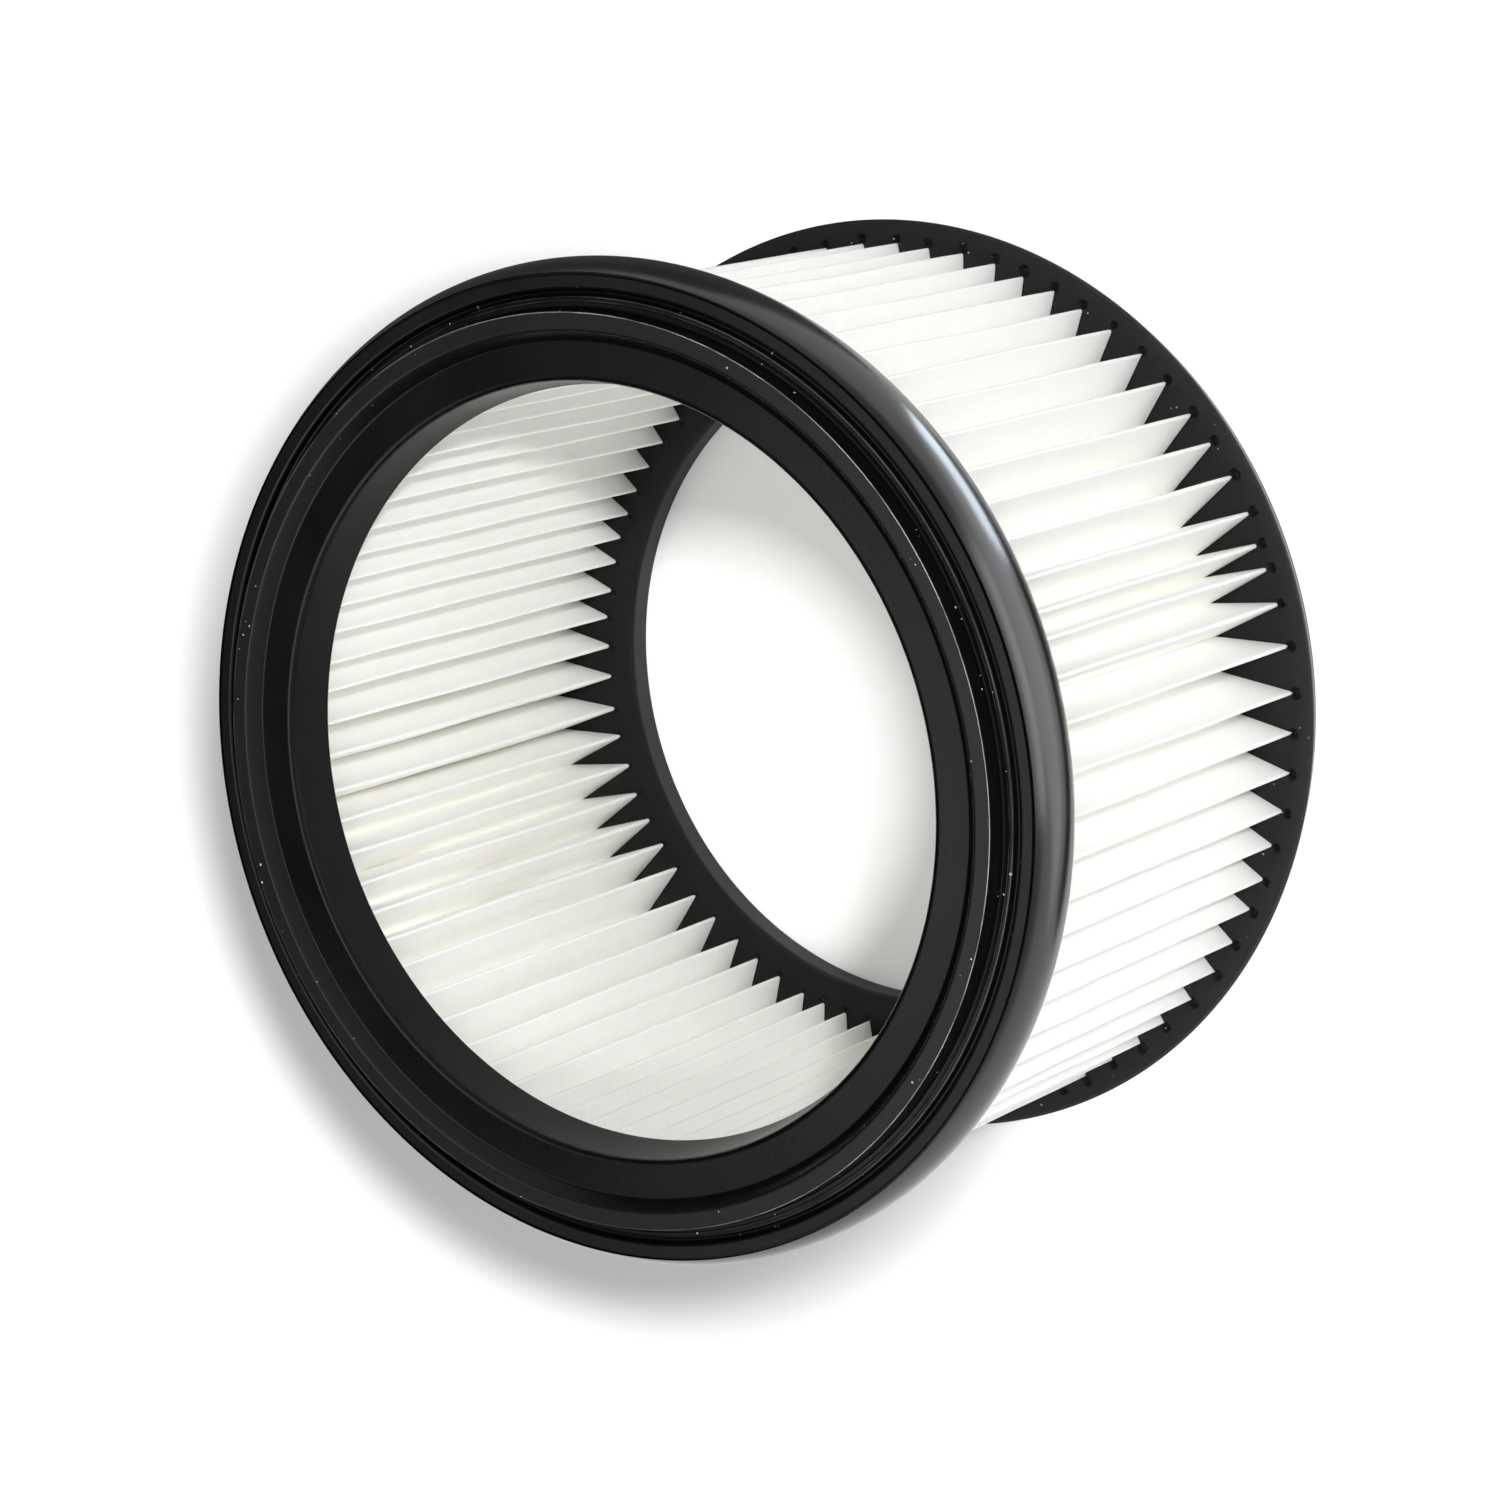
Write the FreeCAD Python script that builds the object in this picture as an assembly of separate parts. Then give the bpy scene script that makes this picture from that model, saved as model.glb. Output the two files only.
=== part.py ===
import FreeCAD, Part
import math
import os

os.makedirs("parts", exist_ok=True)

# Overall height, standing on the rear ring
height = 110.0

# Front ring, its outside radius and the widths of its steps inwards
flank_radius = 92.5
flank_swell = 2.2
band_width = 2.9
groove_width = 1.5
strip_width = 1.9
wall_draft = 0.4
seal_width = 3.2
chamfer_width = 2.8
bore_draft = 1.6

# Front ring, depths below its seal face
band_drop = 3.9
groove_depth = 1.1
shelf_drop = 2.5
front_ring_depth = 11.5

# Front ring, skirt that its flank carries down outside the folds
skirt_drop = 5.5
skirt_gap = 0.8
skirt_draft = 0.7

# Front ring, bevels on its moulded edges and flats along its swollen flank
seal_bevel = 0.5
mouth_bevel = 0.6
flank_flats = 6

# Pleated media
fold_count = 74
fold_depth = 15.1
sheet_thickness = 0.6
tip_half_width = 0.5

# How far the rings reach past the folds, and how deep the folds are set into them
flank_cover = 5.8
front_ledge = 2.0
rear_rim = 4.6
rear_ledge = 6.1
front_setting = 4.5
rear_setting = 3.0

# Rear ring
rear_thickness = 5.0
rear_draft = 2.2
rear_bevel = 0.5

# Derived radii, from the flank inwards
outer_fold_radius = flank_radius - flank_cover
inner_fold_radius = outer_fold_radius - fold_depth
rear_outer_radius = outer_fold_radius + rear_rim
rear_foot_radius = rear_outer_radius - rear_draft
rear_bore_radius = inner_fold_radius - rear_ledge
lip_radius = flank_radius - flank_swell
groove_outer_radius = lip_radius - band_width
groove_inner_radius = groove_outer_radius - groove_width
wall_foot_radius = groove_inner_radius - strip_width
seal_radius = wall_foot_radius - wall_draft
seal_inner_radius = seal_radius - seal_width
shelf_radius = seal_inner_radius - chamfer_width
front_bore_foot_radius = inner_fold_radius - front_ledge
front_bore_mouth_radius = front_bore_foot_radius + bore_draft
skirt_radius = outer_fold_radius + skirt_gap
skirt_foot_radius = skirt_radius + skirt_draft

# Derived levels
front_under = height - front_ring_depth
skirt_level = front_under - skirt_drop
band_level = height - band_drop
shelf_level = height - shelf_drop
media_bottom = rear_thickness - rear_setting
media_top = front_under + front_setting


# A solid turned about Z; each corner of its outline has a radius, a height and a bevel
def turned(corners):
    points = []
    count = len(corners)
    for i in range(count):
        here = FreeCAD.Vector(corners[i][0], 0, corners[i][1])
        bevel = corners[i][2]
        if bevel == 0:
            points.append(here)
            continue
        before = FreeCAD.Vector(corners[i - 1][0], 0, corners[i - 1][1])
        after = FreeCAD.Vector(corners[(i + 1) % count][0], 0, corners[(i + 1) % count][1])
        points.append(here + (before - here).normalize() * bevel)
        points.append(here + (after - here).normalize() * bevel)
    face = Part.Face(Part.makePolygon(points + [points[0]]))
    return face.revolve(FreeCAD.Vector(0, 0, 0), FreeCAD.Vector(0, 0, 1), 360)


# Corners along the arc of the swollen flank, from its foot up to its lip
def flank_corners():
    middle = (band_level + skirt_level) / 2
    half = (band_level - skirt_level) / 2
    bulge = (half ** 2 + flank_swell ** 2) / (2 * flank_swell)
    reach = math.asin(half / bulge)
    corners = []
    for i in range(flank_flats + 1):
        angle = reach * (2 * i / flank_flats - 1)
        radius = flank_radius - bulge * (1 - math.cos(angle))
        corners.append((radius, middle + bulge * math.sin(angle), 0))
    return corners


# Middle line of the folded sheet as a closed polygon, four corners to a fold
def fold_line():
    step = 2 * math.pi / fold_count
    tip = outer_fold_radius - sheet_thickness / 2
    root = inner_fold_radius + sheet_thickness / 2
    points = []
    for i in range(fold_count):
        outer = i * step
        inner = outer + step / 2
        for across, radius, angle in (
            (-tip_half_width, tip, outer),
            (tip_half_width, tip, outer),
            (-tip_half_width, root, inner),
            (tip_half_width, root, inner),
        ):
            x = radius * math.cos(angle) - across * math.sin(angle)
            y = radius * math.sin(angle) + across * math.cos(angle)
            points.append(FreeCAD.Vector(x, y, media_bottom))
    return points


# A closed wire beside the polygon at a distance, outwards when positive
def beside(points, distance):
    count = len(points)
    moved = []
    for i in range(count):
        arriving = (points[i] - points[i - 1]).normalize()
        leaving = (points[(i + 1) % count] - points[i]).normalize()
        normal = FreeCAD.Vector(arriving.y, -arriving.x, 0)
        mitre = (normal + FreeCAD.Vector(leaving.y, -leaving.x, 0)).normalize()
        moved.append(points[i] + mitre * (distance / mitre.dot(normal)))
    return Part.makePolygon(moved + [moved[0]])


# Pleated media band
middle_line = fold_line()
outside = beside(middle_line, sheet_thickness / 2)
inside = beside(middle_line, -sheet_thickness / 2)
band = Part.makeFace([outside, inside], "Part::FaceMakerBullseye")
media = band.extrude(FreeCAD.Vector(0, 0, media_top - media_bottom))

# Front seal ring: stepped face, tapered bore, swollen flank and skirt, cast round the media's end
groove_middle_radius = (groove_outer_radius + groove_inner_radius) / 2
front_solid = turned(flank_corners() + [
    (groove_outer_radius, band_level, 0),
    (groove_middle_radius, band_level - groove_depth, 0),
    (groove_inner_radius, band_level, 0),
    (wall_foot_radius, band_level, 0),
    (seal_radius, height, 0),
    (seal_inner_radius, height, seal_bevel),
    (shelf_radius, shelf_level, seal_bevel),
    (front_bore_mouth_radius, shelf_level, mouth_bevel),
    (front_bore_foot_radius, front_under, 0),
    (skirt_radius, front_under, 0),
    (skirt_foot_radius, skirt_level, 0),
])
front_ring = front_solid.cut(media)

# Rear end ring: flat, with bevelled edges and a drafted wall, cast round the media's other end
rear_solid = turned([
    (rear_bore_radius, 0, rear_bevel),
    (rear_foot_radius, 0, rear_bevel),
    (rear_outer_radius, rear_thickness, rear_bevel),
    (rear_bore_radius, rear_thickness, rear_bevel),
])
rear_ring = rear_solid.cut(media)

# One file to a piece
front_ring.exportStep("parts/front_ring.step")
media.exportStep("parts/media.step")
rear_ring.exportStep("parts/rear_ring.step")
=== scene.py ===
import math

import bpy
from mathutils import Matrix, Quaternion, Vector, noise


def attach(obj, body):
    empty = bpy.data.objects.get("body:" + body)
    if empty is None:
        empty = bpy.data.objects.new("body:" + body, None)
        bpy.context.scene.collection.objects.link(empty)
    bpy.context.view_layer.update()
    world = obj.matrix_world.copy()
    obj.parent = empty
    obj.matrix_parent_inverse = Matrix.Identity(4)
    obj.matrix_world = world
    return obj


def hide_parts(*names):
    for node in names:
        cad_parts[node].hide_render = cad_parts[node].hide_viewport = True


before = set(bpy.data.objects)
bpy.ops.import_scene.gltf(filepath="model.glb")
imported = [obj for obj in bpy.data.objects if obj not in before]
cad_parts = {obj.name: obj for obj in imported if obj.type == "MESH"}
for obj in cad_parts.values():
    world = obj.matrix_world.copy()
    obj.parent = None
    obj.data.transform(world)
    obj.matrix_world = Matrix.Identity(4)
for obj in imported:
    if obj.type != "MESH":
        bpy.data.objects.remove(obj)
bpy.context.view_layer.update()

MM = 0.001
TURN = 2 * math.pi

# Sizes in millimetres, as in the part's source
HEIGHT = 110.0
FLANK_RADIUS = 92.5
FLANK_SWELL = 2.2
BAND_WIDTH = 2.9
GROOVE_WIDTH = 1.5
STRIP_WIDTH = 1.9
WALL_DRAFT = 0.4
SEAL_WIDTH = 3.2
CHAMFER_WIDTH = 2.8
BORE_DRAFT = 1.6
BAND_DROP = 3.9
GROOVE_DEPTH = 1.1
SHELF_DROP = 2.5
FRONT_DEPTH = 11.5
SKIRT_DROP = 5.5
SKIRT_GAP = 0.8
SKIRT_DRAFT = 0.7
FOLDS = 74
FOLD_DEPTH = 15.1
FLANK_COVER = 5.8
FRONT_LEDGE = 2.0
REAR_RIM = 4.6
REAR_LEDGE = 6.1
REAR_THICKNESS = 5.0
REAR_DRAFT = 2.2
FRONT_SETTING = 4.5
REAR_SETTING = 3.0

# Radii and levels that follow from them
OUTER_FOLD = FLANK_RADIUS - FLANK_COVER
INNER_FOLD = OUTER_FOLD - FOLD_DEPTH
REAR_OUTER = OUTER_FOLD + REAR_RIM
REAR_FOOT = REAR_OUTER - REAR_DRAFT
REAR_BORE = INNER_FOLD - REAR_LEDGE
LIP = FLANK_RADIUS - FLANK_SWELL
GROOVE_OUTER = LIP - BAND_WIDTH
GROOVE_INNER = GROOVE_OUTER - GROOVE_WIDTH
WALL_FOOT = GROOVE_INNER - STRIP_WIDTH
SEAL = WALL_FOOT - WALL_DRAFT
SEAL_INNER = SEAL - SEAL_WIDTH
SHELF = SEAL_INNER - CHAMFER_WIDTH
BORE_FOOT = INNER_FOLD - FRONT_LEDGE
BORE_MOUTH = BORE_FOOT + BORE_DRAFT
SKIRT = OUTER_FOLD + SKIRT_GAP
SKIRT_FOOT = SKIRT + SKIRT_DRAFT
FRONT_UNDER = HEIGHT - FRONT_DEPTH
SKIRT_LEVEL = FRONT_UNDER - SKIRT_DROP
BAND_LEVEL = HEIGHT - BAND_DROP
SHELF_LEVEL = HEIGHT - SHELF_DROP

# Sheet and the unevenness of its folds, in millimetres and radians
PAPER = 0.4
FOLD_ROUND = 0.22
DRIFT = 0.012
TIP_JITTER = 0.011
REACH_JITTER = 0.7
CLUSTER_ANGLE = -0.5 * math.pi
CLUSTER_WIDTH = 0.15
CLUSTER_PINCH = 0.26

# Sway of the sheet in millimetres, and how often it changes round the band and up it
SWAY = 0.5
SWAY_AROUND = 9.0
SWAY_UP = 1.4

# How much steeper the step inside the seal face is than the part's chamfer, in millimetres
STEEPER = 0.8

# Fine groove behind the lip, in millimetres inwards and down
LIP_GROOVE_START = 0.15
LIP_GROOVE_END = 0.5
LIP_GROOVE_EDGE = 0.62
LIP_GROOVE_DEPTH = 0.6

# Sloping sides of the band's groove and the fine ridge beside it, in millimetres
GROOVE_OUTER_SIDE = 0.6
GROOVE_INNER_SIDE = 0.5
RIDGE_TOP = 0.75
RIDGE_FOOT = 0.95
RIDGE_HEIGHT = 0.2

# Flash left round the front of the seal ring, in millimetres
FLASH = 0.28
FLASH_THICK = 0.22
FLASH_EDGE = 0.08
FLASH_SINK = 0.1
FLASH_MARGIN = 0.12
FLASH_WANDER = 0.06

# Share of the flash that is left, and how much more of it on the ring's near side
FLASH_KEPT = 0.55
FLASH_KEPT_MORE = 0.45

# Roundings wider than this, in millimetres, get a line beside them that keeps the next face flat
GUARDED = 0.25
GUARD = 1.3

# Air pits by the fold tips, in millimetres: gap to the tip, its spread, radius, its spread, depth
OUTER_PIT = (0.85, 0.35, 0.75, 0.35, 1.3)
INNER_PIT = (0.75, 0.3, 0.55, 0.25, 0.5)
PIT_STEEPNESS = 2.0
PIT_NEIGHBOURS = 4

# Zones of the rear ring that hold pits, in millimetres outwards from the tips
OUTER_PIT_ZONE = (2.2, -0.9)
INNER_PIT_ZONE = (0.7, -2.0)
PIT_SPACING = 0.3
BARE_MARGIN = 4.0

# Points round the rings, enough for the flash and for the pits of each fold
FRONT_AROUND = 600
REAR_AROUND = FOLDS * 18

# Colours of the pieces
FRONT_TONE = (0.0025, 0.0025, 0.003)
REAR_TONE = (0.0035, 0.0035, 0.004)
FILM_COLOUR = (0.027, 0.027, 0.028, 1.0)
# Pale grey of the dust, also used for the edge lines painted as highlights
DUST_AND_HIGHLIGHT_COLOUR = (0.72, 0.73, 0.75, 1.0)
PAPER_SHADE = (0.955, 0.955, 0.937, 1.0)
PAPER_LIGHT = (0.98, 0.98, 0.964, 1.0)

# Camera at the photo's viewing angle, in metres and degrees
CAMERA_PLACE = Vector((0.0, -0.48122, 0.71965))
CAMERA_AIM = Vector((-0.00404, -0.00003, 0.06067))
CAMERA_ROLL = -107.98
CAMERA_LENS = 104.03
SENSOR_WIDTH = 36.0

# Soft sky that is dark low behind the filter and bright overhead
SKY_STRENGTH = 0.32
BACK_STRENGTH = 0.0
TOP_STRENGTH = 1.3
SKY_TILT = 0.2
TOP_BORDER = (0.78, 0.88)
BACK_BORDER = (0.0, 0.35)

# Floor, in millimetres, with the white that it shows in its painted shadow, the dimmed tone that paints that
# shadow, and its tone beyond
FLOOR_SIZE = 6000.0
FLOOR_LEVEL = -0.2
FLOOR_LIFT = 0.17
FLOOR_PAINTED_SHADE = 0.68
FLOOR_FAR_DIM = 0.2

# Painted shadow, ring and painted pool of light inside the bore on the floor, in metres
PAINTED_SHADOW_CENTRE = Vector((-0.006, 0.087, 0.0))
PAINTED_SHADOW_BORDER = (0.1045, 0.1235)
RING_BORDER = (0.07, 0.085)
PAINTED_BORE_LIGHT = Vector((-0.004, 0.053, 0.0))
PAINTED_BORE_LIGHT_BORDER = (0.035, 0.062)
PAINTED_BORE_LIGHT_STRENGTH = 0.65

# Studio cards, in millimetres, and lamps
CARD_LEVEL = 1.0
WHITE = (1.0, 1.0, 1.0)
STREAK_TURN = 27


def chance(number):
    """A fixed value between 0 and 1 for a whole number."""
    return math.modf(abs(math.sin(number * 12.9898 + 4.1) * 43758.5453))[0]


def new_object(name, points, faces, sharp=40):
    """A smooth mesh object from points in millimetres, creased at turns of over sharp degrees."""
    mesh = bpy.data.meshes.new(name)
    mesh.from_pydata([(x * MM, y * MM, z * MM) for x, y, z in points], [], faces)
    mesh.validate()
    mesh.shade_smooth()
    mesh.set_sharp_from_angle(angle=math.radians(sharp))
    made = bpy.data.objects.new(name, mesh)
    bpy.context.scene.collection.objects.link(made)
    return made


def rounded(corners, steps=5):
    """Points of a closed outline; a corner has a radius, a level and how far it is rounded."""
    points = []
    count = len(corners)
    for i, (radius, level, cut) in enumerate(corners):
        here = Vector((radius, level))
        if cut == 0:
            points.append(here)
            continue
        before = Vector(corners[i - 1][:2])
        after = Vector(corners[(i + 1) % count][:2])
        start = here + (before - here).normalized() * cut
        end = here + (after - here).normalized() * cut
        arc = []
        for k in range(steps + 1):
            t = k / steps
            arc.append(start.lerp(here, t).lerp(here.lerp(end, t), t))
        if cut > GUARDED:
            arc.insert(0, here.lerp(start, GUARD))
            arc.append(here.lerp(end, GUARD))
        points += arc
    return points


def turned(name, outline, around, moved):
    """A ring turned from a closed outline, its points moved by a function of radius, level and angle."""
    points = []
    faces = []
    count = len(outline)
    for j in range(around):
        angle = TURN * j / around
        for corner in outline:
            radius, level = moved(corner.x, corner.y, angle)
            points.append((radius * math.cos(angle), radius * math.sin(angle), level))
        beside = (j + 1) % around
        for k in range(count):
            up = (k + 1) % count
            faces.append((j * count + k, beside * count + k, beside * count + up, j * count + up))
    return new_object(name, points, faces)


def tip_angle(index):
    """Angle of a fold tip; even ones are outside and odd ones inside."""
    angle = index * math.pi / FOLDS
    off = (angle - CLUSTER_ANGLE + math.pi) % TURN - math.pi
    pinch = CLUSTER_PINCH * off * math.exp(-(off / CLUSTER_WIDTH) ** 2)
    drift = DRIFT * (math.sin(3 * angle + 0.7) + 0.7 * math.sin(8 * angle + 2.1))
    jitter = TIP_JITTER * (chance(index % (2 * FOLDS)) - 0.5)
    return angle + drift + jitter - pinch


def tip_reach(index):
    """Radius of a fold tip."""
    slack = REACH_JITTER * chance(index % (2 * FOLDS) + 500)
    if index % 2:
        return INNER_FOLD + PAPER / 2 + slack
    return OUTER_FOLD - PAPER / 2 - slack


def sheet_line(arc_steps=8, side_steps=3):
    """Middle line of the folded sheet, with its tips rounded."""
    half = math.atan2(math.pi / FOLDS * (OUTER_FOLD + INNER_FOLD) / 2, FOLD_DEPTH)
    sharpened = FOLD_ROUND * (1 / math.sin(half) - 1)
    corners = []
    for index in range(2 * FOLDS):
        reach = tip_reach(index) + (-sharpened if index % 2 else sharpened)
        angle = tip_angle(index)
        corners.append(Vector((reach * math.cos(angle), reach * math.sin(angle))))
    line = []
    for index in range(2 * FOLDS):
        here = corners[index]
        back = (corners[index - 1] - here).normalized()
        on = (corners[(index + 1) % (2 * FOLDS)] - here).normalized()
        half = back.angle(on) / 2
        centre = here + (back + on).normalized() * (FOLD_ROUND / math.sin(half))
        start = here + back * (FOLD_ROUND / math.tan(half)) - centre
        end = here + on * (FOLD_ROUND / math.tan(half)) - centre
        sweep = start.angle_signed(end)
        if line:
            last = line[-1]
            first = centre + start
            line += [last.lerp(first, k / side_steps) for k in range(1, side_steps)]
        for k in range(arc_steps + 1):
            turn = -sweep * k / arc_steps
            line.append(centre + Vector((
                start.x * math.cos(turn) - start.y * math.sin(turn),
                start.x * math.sin(turn) + start.y * math.cos(turn),
            )))
    last = line[-1]
    line += [last.lerp(line[0], k / side_steps) for k in range(1, side_steps)]
    return line


def pleated_media(rows=22):
    """The folded sheet as a closed band with both faces."""
    line = sheet_line()
    count = len(line)
    bottom = REAR_THICKNESS - REAR_SETTING
    top = FRONT_UNDER + FRONT_SETTING
    normals = []
    for i in range(count):
        along = (line[(i + 1) % count] - line[i - 1]).normalized()
        normals.append(Vector((along.y, -along.x)))
    points = []
    faces = []
    for row in range(rows + 1):
        share = row / rows
        level = bottom + (top - bottom) * share
        slack = math.sin(math.pi * share) * SWAY
        for side in (0.5, -0.5):
            for middle, normal in zip(line, normals):
                angle = math.atan2(middle.y, middle.x)
                spot = Vector((SWAY_AROUND * math.cos(angle), SWAY_AROUND * math.sin(angle), SWAY_UP * share))
                across = slack * noise.noise(spot * 1.7)
                out = 0.6 * slack * noise.noise(spot * 2.3 + Vector((7, 3, 1)))
                place = middle + normal * (side * PAPER)
                points.append((
                    place.x - across * math.sin(angle) + out * math.cos(angle),
                    place.y + across * math.cos(angle) + out * math.sin(angle),
                    level,
                ))
    band = 2 * count
    for i in range(count):
        on = (i + 1) % count
        for row in range(rows):
            low = row * band
            high = low + band
            faces.append((low + i, low + on, high + on, high + i))
            faces.append((low + count + on, low + count + i, high + count + i, high + count + on))
        high = rows * band
        faces.append((i, count + i, count + on, on))
        faces.append((high + i, high + on, high + count + on, high + count + i))
    return new_object("pleated_media", points, faces, sharp=60)


def flash_edge(radius, level, angle):
    """Ragged flash round the front of the seal ring, higher on the ring's near side."""
    if level <= HEIGHT - 0.5 * FLASH:
        return radius, level
    spot = Vector((math.cos(angle), math.sin(angle), 0.3))
    ragged = 0.5 + 0.5 * noise.noise(spot * 40) + 0.35 * noise.noise(spot * 150)
    torn = max(0.0, noise.noise(spot * 11 + Vector((5, 2, 0))) - 0.25)
    kept = FLASH_KEPT - FLASH_KEPT_MORE * math.sin(angle)
    height = kept * min(1.0, max(0.0, 0.35 + 0.5 * ragged - 1.6 * torn))
    return radius + FLASH_WANDER * kept * noise.noise(spot * 60), HEIGHT - FLASH * (1 - height)


def flank_corners(steps=22):
    """Corners along the arc of the swollen flank, from its foot up to its lip."""
    middle = (BAND_LEVEL + SKIRT_LEVEL) / 2
    half = (BAND_LEVEL - SKIRT_LEVEL) / 2
    bulge = (half ** 2 + FLANK_SWELL ** 2) / (2 * FLANK_SWELL)
    reach = math.asin(half / bulge)
    corners = []
    for i in range(steps + 1):
        angle = reach * (2 * i / steps - 1)
        corners.append((FLANK_RADIUS - bulge * (1 - math.cos(angle)), middle + bulge * math.sin(angle), 0))
    return corners


def front_outline():
    """Outline of the front seal ring, anticlockwise from the foot of its bore."""
    face = HEIGHT - FLASH
    return rounded([
        (BORE_FOOT, FRONT_UNDER, 0.25),
        (SKIRT, FRONT_UNDER, 0.3),
        (SKIRT_FOOT, SKIRT_LEVEL, 0.4),
        *flank_corners(),
        (LIP - LIP_GROOVE_START, BAND_LEVEL - LIP_GROOVE_DEPTH, 0),
        (LIP - LIP_GROOVE_END, BAND_LEVEL - LIP_GROOVE_DEPTH, 0),
        (LIP - LIP_GROOVE_EDGE, BAND_LEVEL, 0),
        (GROOVE_OUTER, BAND_LEVEL, 0.45),
        (GROOVE_OUTER - GROOVE_OUTER_SIDE, BAND_LEVEL - GROOVE_DEPTH, 0.2),
        (GROOVE_INNER + GROOVE_INNER_SIDE, BAND_LEVEL - GROOVE_DEPTH, 0.2),
        (GROOVE_INNER, BAND_LEVEL, 0.3),
        (GROOVE_INNER - RIDGE_TOP, BAND_LEVEL, 0.1),
        (GROOVE_INNER - RIDGE_FOOT, BAND_LEVEL - RIDGE_HEIGHT, 0.08),
        (WALL_FOOT, BAND_LEVEL - RIDGE_HEIGHT, 0.25),
        (SEAL, face - FLASH_SINK, 0),
        (SEAL, HEIGHT, 0),
        (SEAL - FLASH_EDGE, HEIGHT, 0),
        (SEAL - FLASH_THICK, face, 0),
        (SEAL - FLASH_THICK - FLASH_MARGIN, face, 0),
        (SEAL_INNER, face, 0.4),
        (SHELF + STEEPER, SHELF_LEVEL, 0.3),
        (BORE_MOUTH, SHELF_LEVEL, 0.9),
    ])


def pit_depth(x, y):
    """Depth of the small pits that trapped air leaves beside the fold tips."""
    index = round(math.atan2(y, x) % TURN / (math.pi / FOLDS))
    deepest = 0.0
    for near in range(index - PIT_NEIGHBOURS, index + PIT_NEIGHBOURS + 1):
        angle = tip_angle(near)
        number = near % (2 * FOLDS)
        gap, gap_spread, size, size_spread, depth = INNER_PIT if near % 2 else OUTER_PIT
        gap += gap_spread * chance(number + 40)
        size += size_spread * chance(number + 90)
        reach = tip_reach(near) + (-gap if near % 2 else gap)
        away = math.hypot(x - reach * math.cos(angle), y - reach * math.sin(angle)) / size
        if away < 1:
            deepest = max(deepest, depth * min(1.0, PIT_STEEPNESS * (1 - away ** 2)))
    return deepest


def pitted(radius, level, angle):
    """The rear ring's front face with its pits."""
    if level < REAR_THICKNESS - 0.001:
        return radius, level
    return radius, level - pit_depth(radius * math.cos(angle), radius * math.sin(angle))


def pit_zone(tip, start, end):
    """Close points across a zone of pits, from its outer edge to its inner one."""
    corners = []
    radius = tip + start
    while radius > tip + end:
        corners.append((radius, REAR_THICKNESS, 0))
        radius -= PIT_SPACING
    return corners


def rear_outline():
    """Outline of the rear ring, anticlockwise, with close points where the pits are."""
    return rounded([
        (REAR_BORE, 0.0, 0.5),
        (REAR_FOOT, 0.0, 0.5),
        (REAR_OUTER, REAR_THICKNESS, 0.8),
        *pit_zone(OUTER_FOLD, *OUTER_PIT_ZONE),
        (OUTER_FOLD - BARE_MARGIN, REAR_THICKNESS, 0),
        (INNER_FOLD + BARE_MARGIN, REAR_THICKNESS, 0),
        *pit_zone(INNER_FOLD, *INNER_PIT_ZONE),
        (REAR_BORE, REAR_THICKNESS, 0.7),
    ])


def add(tree, kind, sockets=None, **settings):
    """A shader node with its settings, its inputs set or linked."""
    made = tree.nodes.new(kind)
    for key, value in settings.items():
        setattr(made, key, value)
    for key, value in (sockets or {}).items():
        if isinstance(value, bpy.types.NodeSocket):
            tree.links.new(value, made.inputs[key])
        else:
            made.inputs[key].default_value = value
    return made


def new_material(name):
    """An empty material, its node tree, its shader and the place on the object."""
    made = bpy.data.materials.new(name)
    made.use_nodes = True
    tree = made.node_tree
    return made, tree, tree.nodes["Principled BSDF"], add(tree, "ShaderNodeTexCoord").outputs["Object"]


def mapped(tree, value, low, high, to_low=0.0, to_high=1.0, kind="SMOOTHSTEP"):
    """A value mapped from one range to another."""
    sockets = {"Value": value, "From Min": low, "From Max": high, "To Min": to_low, "To Max": to_high}
    return add(tree, "ShaderNodeMapRange", sockets, interpolation_type=kind).outputs["Result"]


def maths(tree, operation, first, second):
    """One sum of two values."""
    return add(tree, "ShaderNodeMath", {0: first, 1: second}, operation=operation).outputs[0]


def mixed(tree, share, low, high):
    """A value between two others."""
    return add(tree, "ShaderNodeMix", {0: share, 2: low, 3: high}).outputs[0]


def blended(tree, share, low, high):
    """A colour between two others."""
    return add(tree, "ShaderNodeMix", {0: share, 6: low, 7: high}, data_type="RGBA").outputs[2]


def clouds(tree, place, scale, detail=2.0):
    """A cloudy pattern."""
    return add(tree, "ShaderNodeTexNoise", {"Vector": place, "Scale": scale, "Detail": detail}).outputs["Fac"]


def stretched(tree, place, factors):
    """A place with each of its coordinates multiplied."""
    return add(tree, "ShaderNodeVectorMath", {0: place, 1: factors}, operation="MULTIPLY").outputs[0]


def length(tree, vector):
    """The length of a vector."""
    return add(tree, "ShaderNodeVectorMath", {0: vector}, operation="LENGTH").outputs["Value"]


def distance(tree, place, centre):
    """The distance between two places."""
    return add(tree, "ShaderNodeVectorMath", {0: place, 1: centre}, operation="DISTANCE").outputs["Value"]


def speckle(tree, place, scale, size, share):
    """Small round specks, a share of the cells having one."""
    cells = add(tree, "ShaderNodeTexVoronoi", {"Vector": place, "Scale": scale, "Randomness": 1.0})
    pick = add(tree, "ShaderNodeSeparateColor", {"Color": cells.outputs["Color"]})
    chosen = mapped(tree, pick.outputs[0], 1 - share, 1 - share + 0.02)
    grain = maths(tree, "MULTIPLY", pick.outputs[1], size)
    dot = maths(tree, "LESS_THAN", cells.outputs["Distance"], grain)
    return maths(tree, "MULTIPLY", chosen, dot)


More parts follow.
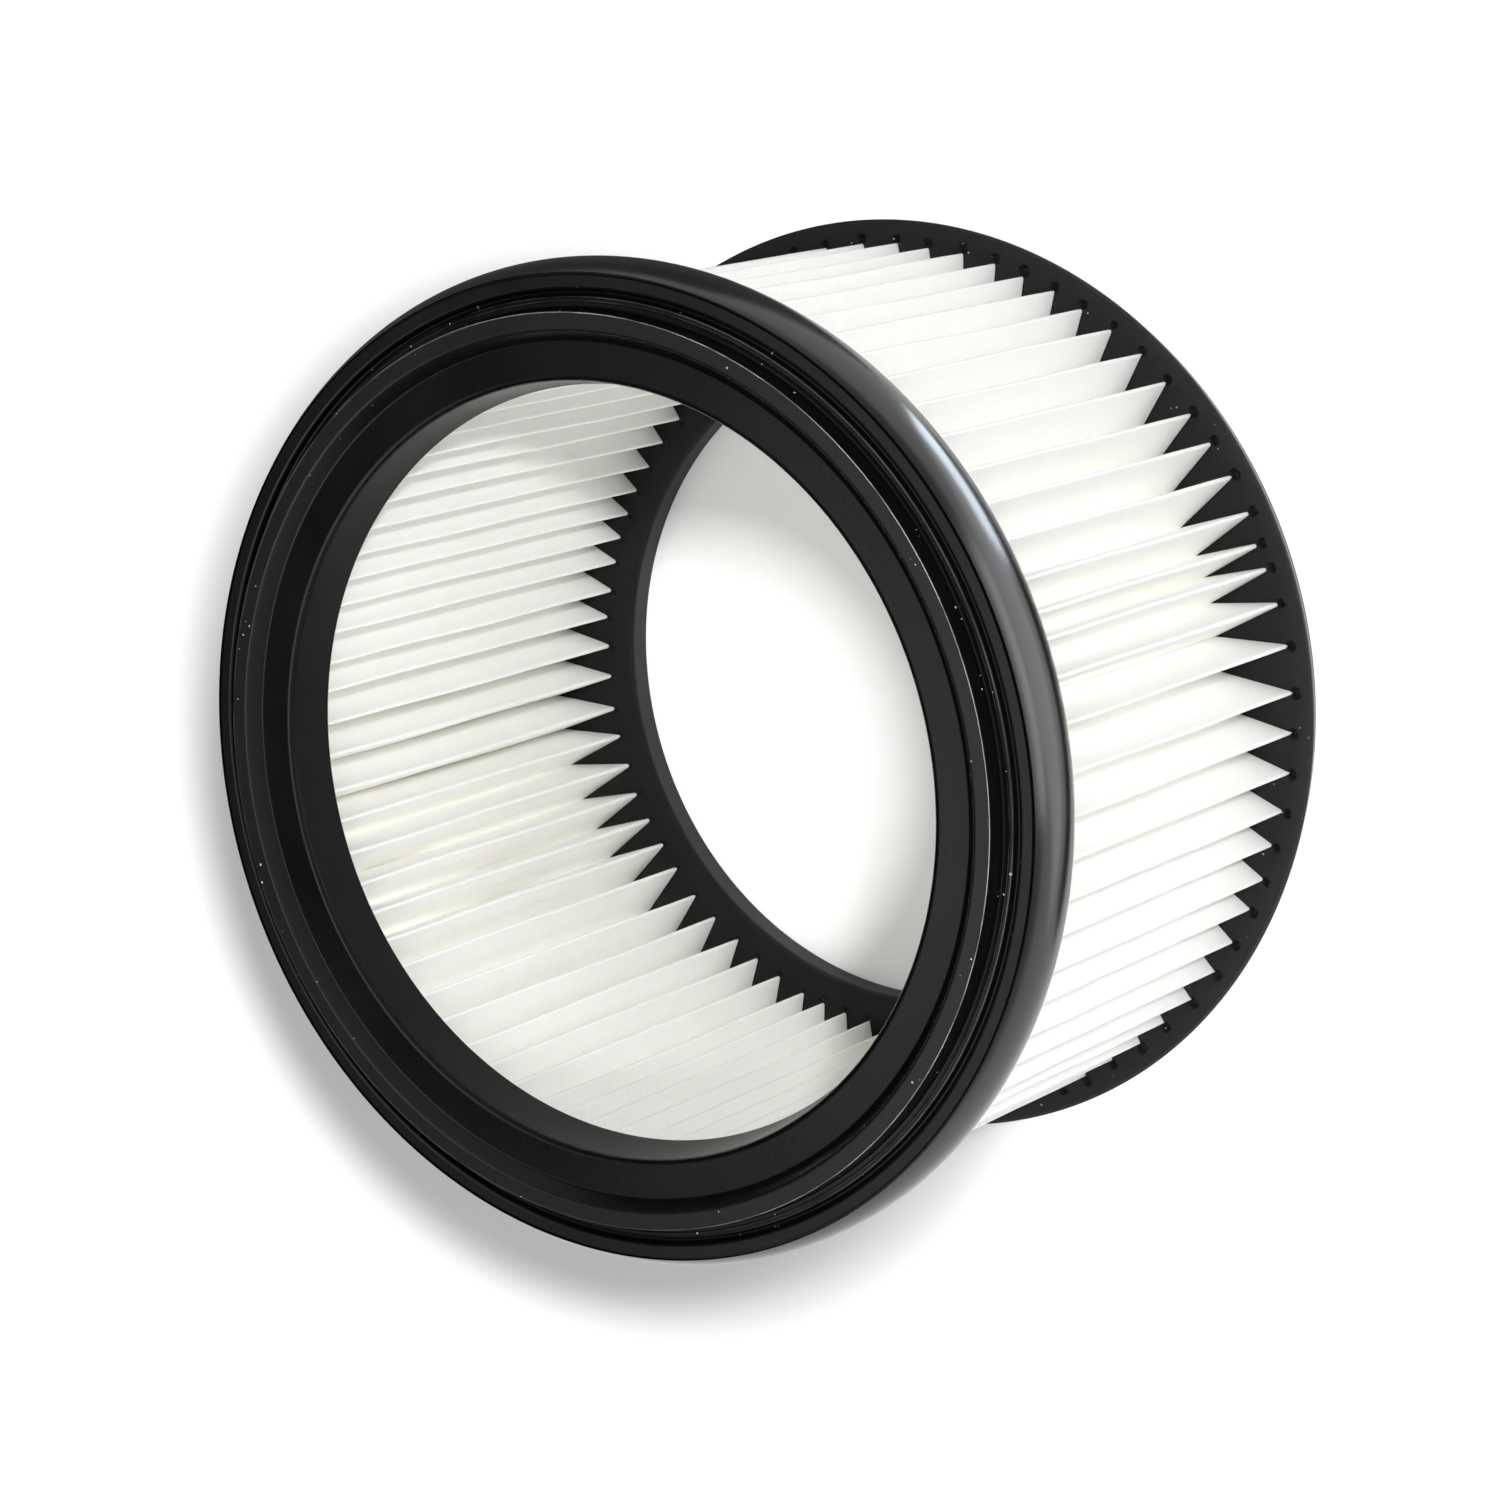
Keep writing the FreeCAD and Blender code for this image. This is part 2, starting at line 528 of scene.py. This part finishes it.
def highlit_and_rubbed_edges(tree, place, radius, edges):
    """Edge lines painted pale, partly as rubbed wear and partly as highlights, stronger on the lit near side;
    each has a radius, a level, a width and a strength.
    """
    axes = add(tree, "ShaderNodeSeparateXYZ", {0: place}).outputs
    banded = 0.0
    for edge_radius, edge_level, width, strength in edges:
        across = maths(tree, "SUBTRACT", radius, edge_radius * MM)
        along = maths(tree, "SUBTRACT", axes["Z"], edge_level * MM)
        away = length(tree, add(tree, "ShaderNodeCombineXYZ", {0: across, 1: along}).outputs[0])
        banded = maths(tree, "MAXIMUM", mapped(tree, away, width * MM, 0.3 * width * MM, 0.0, strength), banded)
    patch = mapped(tree, clouds(tree, place, 70.0, 6.0), 0.3, 0.55)
    # Painted highlight: the edge lines are paler towards -Y, the near side where the key lamp falls
    lit_side = mapped(tree, axes["Y"], 0.03, -0.05, 0.1, 1.0)
    return maths(tree, "MULTIPLY", maths(tree, "MULTIPLY", banded, lit_side), patch)


def by_radius(tree, radius, stops):
    """A value that changes with the distance from the axis; a stop has a radius and a value."""
    first = stops[0][0]
    span = stops[-1][0] - first
    share = mapped(tree, radius, first * MM, (first + span) * MM, kind="LINEAR")
    ramp = add(tree, "ShaderNodeValToRGB", {"Fac": share})
    points = ramp.color_ramp.elements
    while len(points) < len(stops):
        points.new(1.0)
    for point, (at, value) in zip(points, stops):
        point.position = (at - first) / span
        point.color = (value, value, value, 1.0)
    return ramp.outputs["Color"]


def moulded(name, tone, shine, rough, film, dust_radius, edges):
    """Black moulded elastomer with grain, dust, rubs and pale edge lines that are partly painted highlights;
    shine, roughness and film go by radius.
    """
    made, tree, shader, place = new_material(name)
    radius = length(tree, stretched(tree, place, (1.0, 1.0, 0.0)))
    cloud = clouds(tree, place, 45.0, 5.0)
    grain = clouds(tree, place, 1400.0, 3.0)
    rub = mapped(tree, clouds(tree, stretched(tree, place, (260.0, 26.0, 260.0)), 5.0), 0.66, 0.74)
    from_dust = maths(tree, "ABSOLUTE", maths(tree, "SUBTRACT", radius, dust_radius), 0.0)
    near = mapped(tree, from_dust, 0.0045, 0.0006)
    fine = speckle(tree, place, 900.0, 0.22, 0.09)
    coarse = speckle(tree, place, 300.0, 0.1, 0.13)
    dust = maths(tree, "MULTIPLY", maths(tree, "MAXIMUM", fine, coarse), near)
    low = tuple(0.7 * c for c in tone) + (1.0,)
    high = tuple(1.3 * c for c in tone) + (1.0,)
    filmed = blended(tree, by_radius(tree, radius, film), blended(tree, cloud, low, high), FILM_COLOUR)
    # Dust specks, and edge lines painted pale as highlights and rubbed wear
    pale = maths(tree, "MAXIMUM", dust, highlit_and_rubbed_edges(tree, place, radius, edges))
    dusty_and_highlit = blended(tree, maths(tree, "MULTIPLY", pale, 0.85), filmed, DUST_AND_HIGHLIGHT_COLOUR)
    tree.links.new(dusty_and_highlit, shader.inputs["Base Color"])
    patchy = maths(tree, "MULTIPLY", maths(tree, "SUBTRACT", cloud, 0.5), 0.16)
    banded = maths(tree, "ADD", by_radius(tree, radius, rough), patchy)
    rubbed = maths(tree, "ADD", banded, maths(tree, "MULTIPLY", maths(tree, "MAXIMUM", dust, rub), 0.04))
    tree.links.new(rubbed, shader.inputs["Roughness"])
    tree.links.new(by_radius(tree, radius, shine), shader.inputs["Specular IOR Level"])
    relief = maths(tree, "ADD", maths(tree, "MULTIPLY", grain, 0.35), maths(tree, "MULTIPLY", cloud, 0.65))
    bump = add(tree, "ShaderNodeBump", {"Strength": 0.22, "Distance": 0.00012, "Height": relief})
    tree.links.new(bump.outputs[0], shader.inputs["Normal"])
    return made


def filter_paper(name):
    """Off-white fibre sheet with faint threads across its folds."""
    made, tree, shader, place = new_material(name)
    threads = add(
        tree, "ShaderNodeTexWave",
        {"Vector": place, "Scale": 330.0, "Distortion": 1.2, "Detail": 2.0, "Detail Scale": 1.5},
        bands_direction="Z",
    ).outputs["Fac"]
    fibre = clouds(tree, place, 1300.0, 4.0)
    cloud = clouds(tree, place, 60.0, 3.0)
    weave = maths(tree, "ADD", maths(tree, "MULTIPLY", threads, 0.45), maths(tree, "MULTIPLY", fibre, 0.55))
    tint = maths(tree, "ADD", maths(tree, "MULTIPLY", weave, 0.6), maths(tree, "MULTIPLY", cloud, 0.4))
    colour = blended(tree, mapped(tree, tint, 0.3, 0.7), PAPER_SHADE, PAPER_LIGHT)
    tree.links.new(colour, shader.inputs["Base Color"])
    tree.links.new(mapped(tree, fibre, 0.2, 0.8, 0.8, 0.95), shader.inputs["Roughness"])
    bump = add(tree, "ShaderNodeBump", {"Strength": 0.35, "Distance": 0.0002, "Height": weave})
    tree.links.new(bump.outputs[0], shader.inputs["Normal"])
    shader.inputs["Specular IOR Level"].default_value = 0.2
    shader.inputs["Subsurface Weight"].default_value = 1.0
    shader.inputs["Subsurface Radius"].default_value = (1.0, 1.0, 0.9)
    shader.inputs["Subsurface Scale"].default_value = 0.0005
    return made


def flat_sheet(name, left, right, near, far, level):
    """A level rectangle, in millimetres."""
    corners = [(left, near, level), (right, near, level), (right, far, level), (left, far, level)]
    return new_object(name, corners, [(0, 1, 2, 3)])


def plain_floor():
    """A wide pale floor that shows white away from the filter; near it the real shadow stays, darkened by a
    painted shadow disc, and a painted pool of light lies inside the bore.
    """
    floor = flat_sheet("floor", -FLOOR_SIZE, FLOOR_SIZE, -FLOOR_SIZE, FLOOR_SIZE, FLOOR_LEVEL)
    made, tree, shader, place = new_material("floor_white")
    shader.inputs["Roughness"].default_value = 0.9
    shader.inputs["Specular IOR Level"].default_value = 0.1
    rays = add(tree, "ShaderNodeLightPath").outputs
    clear = maths(tree, "MAXIMUM", rays["Is Glossy Ray"], rays["Is Transmission Ray"])
    seen = maths(tree, "MAXIMUM", rays["Is Camera Ray"], clear)
    outside = mapped(tree, length(tree, place), *RING_BORDER)
    # Painted shadow: in a disc beside the filter the white lift stays low and the tone is dimmed
    from_shadow = distance(tree, place, PAINTED_SHADOW_CENTRE)
    far = maths(tree, "MULTIPLY", outside, mapped(tree, from_shadow, *PAINTED_SHADOW_BORDER))
    # Painted pool of light: inside the bore the floor glows white for camera and gloss rays
    from_bore = distance(tree, place, PAINTED_BORE_LIGHT)
    glow = mapped(tree, from_bore, *PAINTED_BORE_LIGHT_BORDER, PAINTED_BORE_LIGHT_STRENGTH, 0.0)
    within = maths(tree, "SUBTRACT", glow, outside)
    lift = maths(tree, "MAXIMUM", within, mapped(tree, far, 0.0, 1.0, FLOOR_LIFT, 1.0, "LINEAR"))
    # Painted shade: the floor's tone, dimmed in the disc beside the filter
    painted_shade = mapped(tree, far, 0.0, 1.0, FLOOR_PAINTED_SHADE, FLOOR_FAR_DIM, "LINEAR")
    pale = mapped(tree, clouds(tree, place, 3.0), 0.2, 0.8, 0.79, 0.81)
    tone = maths(tree, "MULTIPLY", pale, mixed(tree, seen, 1.0, painted_shade))
    tree.links.new(tone, shader.inputs["Base Color"])
    shader.inputs["Emission Color"].default_value = (1.0, 1.0, 1.0, 1.0)
    tree.links.new(maths(tree, "MULTIPLY", seen, lift), shader.inputs["Emission Strength"])
    floor.data.materials.append(made)


def dark_card(name, tone, left, right, near, far):
    """A dark studio card on the floor beside the filter, in millimetres, which only reflections show."""
    card = flat_sheet(name, left, right, near, far, CARD_LEVEL)
    made, tree, shader, place = new_material(name)
    shade = mapped(tree, clouds(tree, place, 8.0), 0.2, 0.8, 0.8 * tone, 1.2 * tone)
    tree.links.new(shade, shader.inputs["Base Color"])
    shader.inputs["Roughness"].default_value = 0.9
    card.data.materials.append(made)
    card.visible_camera = False
    card.visible_diffuse = False
    card.visible_shadow = False
    card.visible_transmission = False


def area_lamp(name, place, aim, width, depth, power, colour, rays):
    """A soft lamp that looks at a point, for diffuse light or for gloss."""
    lamp = bpy.data.lights.new(name, "AREA")
    lamp.shape = "RECTANGLE"
    lamp.size = width
    lamp.size_y = depth
    lamp.energy = power
    lamp.color = colour
    made = bpy.data.objects.new(name, lamp)
    made.location = place
    made.rotation_euler = (aim - place).to_track_quat("-Z", "Y").to_euler()
    made.visible_camera = False
    made.visible_glossy = rays == "gloss"
    made.visible_diffuse = rays == "diffuse"
    bpy.context.scene.collection.objects.link(made)
    return made


def photo_camera():
    """The camera at the photo's viewing angle."""
    upright = (CAMERA_AIM - CAMERA_PLACE).normalized().to_track_quat("-Z", "Y")
    data = bpy.data.cameras.new("camera")
    data.lens = CAMERA_LENS
    data.sensor_width = SENSOR_WIDTH
    camera = bpy.data.objects.new("camera", data)
    camera.location = CAMERA_PLACE
    camera.rotation_mode = "QUATERNION"
    camera.rotation_quaternion = upright @ Quaternion((0, 0, 1), math.radians(CAMERA_ROLL))
    bpy.context.scene.collection.objects.link(camera)
    bpy.context.scene.camera = camera


def studio_world():
    """Soft white light from the sky, which the camera sees as plain white."""
    world = bpy.data.worlds.new("studio")
    world.use_nodes = True
    tree = world.node_tree
    background = tree.nodes["Background"].inputs
    background["Color"].default_value = (1.0, 1.0, 1.0, 1.0)
    direction = add(tree, "ShaderNodeTexCoord").outputs["Generated"]
    toward = add(tree, "ShaderNodeSeparateXYZ", {0: direction}).outputs
    above = maths(tree, "SUBTRACT", toward["Z"], maths(tree, "MULTIPLY", toward["X"], SKY_TILT))
    behind = mapped(tree, above, *TOP_BORDER, BACK_STRENGTH, TOP_STRENGTH)
    glow = mixed(tree, mapped(tree, toward["Y"], *BACK_BORDER), SKY_STRENGTH, behind)
    shown = add(tree, "ShaderNodeLightPath").outputs["Is Camera Ray"]
    tree.links.new(maths(tree, "MAXIMUM", glow, shown), background["Strength"])
    bpy.context.scene.world = world


# Pieces of the filter
media = pleated_media()
front = turned("front_seal_ring", front_outline(), FRONT_AROUND, flash_edge)
rear = turned("rear_end_ring", rear_outline(), REAR_AROUND, pitted)

# Front moulding, by radius
# Edge lines painted pale as highlights and rubbed wear: radius, level, width and strength
front_edges = [
    (SEAL - 0.05, HEIGHT, 0.36, 1.0),
    (GROOVE_INNER, BAND_LEVEL, 0.16, 0.25),
    (GROOVE_INNER - 0.8, BAND_LEVEL, 0.16, 0.2),
]
front_shine = [
    (BORE_FOOT, 0.3),
    (BORE_MOUTH, 0.3),
    (BORE_MOUTH + 0.8, 0.5),
    (LIP - 0.4, 0.4),
    (LIP + 0.2, 0.8),
    (FLANK_RADIUS, 0.8),
]
front_rough = [
    (BORE_FOOT, 0.45),
    (BORE_MOUTH + 0.9, 0.2),
    (LIP - 0.4, 0.24),
    (LIP + 0.2, 0.22),
    (FLANK_RADIUS, 0.22),
]
front_film = [
    (BORE_FOOT, 0.0),
    (BORE_MOUTH, 0.05),
    (SHELF + STEEPER - 0.3, 0.05),
    (SEAL_INNER - 0.4, 0.2),
    (SEAL_INNER + 0.3, 0.5),
    (SEAL - 0.1, 0.5),
    (SEAL, 0.0),
    (GROOVE_OUTER - 0.2, 0.0),
    (GROOVE_OUTER + 0.4, 0.22),
    (LIP - 0.7, 0.22),
    (LIP - 0.5, 0.0),
    (FLANK_RADIUS, 0.0),
]
front.data.materials.append(moulded(
    "front_moulding", FRONT_TONE, front_shine, front_rough, front_film, SEAL * MM, front_edges,
))

# Rear moulding, by radius
# Rim line painted pale as a highlight and rubbed wear: radius, level, width and strength
rear_edges = [(REAR_OUTER - 0.1, REAR_THICKNESS - 0.1, 0.2, 0.3)]
rear_shine = [(REAR_BORE, 0.4), (REAR_BORE + 1, 0.2), (REAR_OUTER - 0.9, 0.3), (REAR_OUTER - 0.3, 1.0)]
rear_rough = [(REAR_BORE, 0.5), (REAR_OUTER - 0.9, 0.5), (REAR_OUTER - 0.3, 0.2)]
rear_film = [
    (REAR_BORE, 0.15),
    (INNER_FOLD - 2, 0.12),
    (INNER_FOLD, 0.1),
    (OUTER_FOLD, 0.3),
    (REAR_OUTER, 0.6),
]
rear.data.materials.append(moulded(
    "rear_moulding", REAR_TONE, rear_shine, rear_rough, rear_film, OUTER_FOLD * MM, rear_edges,
))

# Sheet, and what each piece stands for
media.data.materials.append(filter_paper("filter_paper"))
for piece, node, slot in (
    (front, "front_ring", "front_moulding"),
    (media, "media", "media"),
    (rear, "rear_ring", "rear_moulding"),
):
    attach(piece, "root")
    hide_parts(node)

# Camera, floor and the cards that the mouldings reflect
photo_camera()
plain_floor()
dark_card("far_card", 0.15, 105.0, 650.0, -90.0, 500.0)
dark_card("near_card", 0.03, -120.0, 80.0, -137.0, -97.0)

# Lamps for the sheet, in metres
key = Vector((0.22, -1.45, 1.6))
bank = Vector((0.0, -1.5, 0.45))
lower = Vector((-1.2, -0.2, 1.25))
opening = Vector((-0.05, 0.0, 0.09))
area_lamp("key_lamp", key, CAMERA_AIM, 0.14, 0.14, 22.0, (1.0, 0.99, 0.97), "diffuse")
area_lamp("bank_lamp", bank, CAMERA_AIM, 1.2, 0.7, 4.5, WHITE, "diffuse")
area_lamp("lower_lamp", lower, CAMERA_AIM, 1.0, 1.0, 8.0, WHITE, "diffuse")
area_lamp("bore_lamp", opening, Vector((0.07, 0.0, 0.045)), 0.05, 0.05, 0.03, WHITE, "diffuse")

# Lamps that only the mouldings' gloss shows
panel = Vector((-0.02, -0.40, 0.001))
strip = Vector((0.080, -0.156, 0.002))
box = Vector((-0.1, -1.0, 0.12))
overhead = Vector((0.0, 0.0, 1.0))
area_lamp("flank_panel", panel, panel + overhead, 0.35, 0.45, 0.6, (0.95, 0.97, 1.0), "gloss")
area_lamp("horizon_box", box, Vector((0.0, 0.0, 0.1)), 0.9, 0.3, 2.4, (0.93, 0.97, 1.0), "gloss")
streak = area_lamp("flank_strip", strip, strip + overhead, 0.075, 0.065, 0.125, (0.8, 0.9, 1.0), "gloss")
streak.rotation_euler = (math.pi, 0.0, math.radians(STREAK_TURN))

# World, and plain colours in the picture
studio_world()
bpy.context.scene.view_settings.view_transform = "Standard"

# White paper passes light on from fold to fold many times
bpy.context.scene.cycles.max_bounces = 32
bpy.context.scene.cycles.diffuse_bounces = 24
